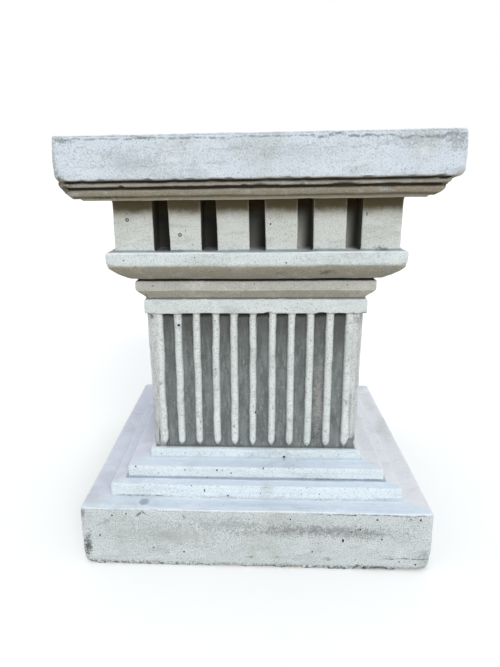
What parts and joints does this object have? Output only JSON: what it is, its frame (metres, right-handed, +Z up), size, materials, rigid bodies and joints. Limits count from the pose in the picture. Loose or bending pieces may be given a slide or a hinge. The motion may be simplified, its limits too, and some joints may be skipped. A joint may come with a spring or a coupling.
{
  "type": "square doric pedestal",
  "caption": "Short square garden pedestal cast in pale concrete, with a stepped base, a reeded shaft, a course of tablets and a flat slab top that carries a pot or statue.",
  "frame": {"origin": "middle of the underside, on the surface that the pedestal stands on", "axes": "+Z up along the pedestal's axis, the front face towards -Y, +X to the right seen from the front"},
  "size_m": [0.4, 0.4, 0.477],
  "materials": {
    "cast_concrete": "dry matt cast concrete, pale grey with a dark grey wash in the flutes and slots, pinholes and worn arrises"
  },
  "bodies": {
    "root": {"cast_pedestal": "cast_concrete"}
  },
  "joints": []
}
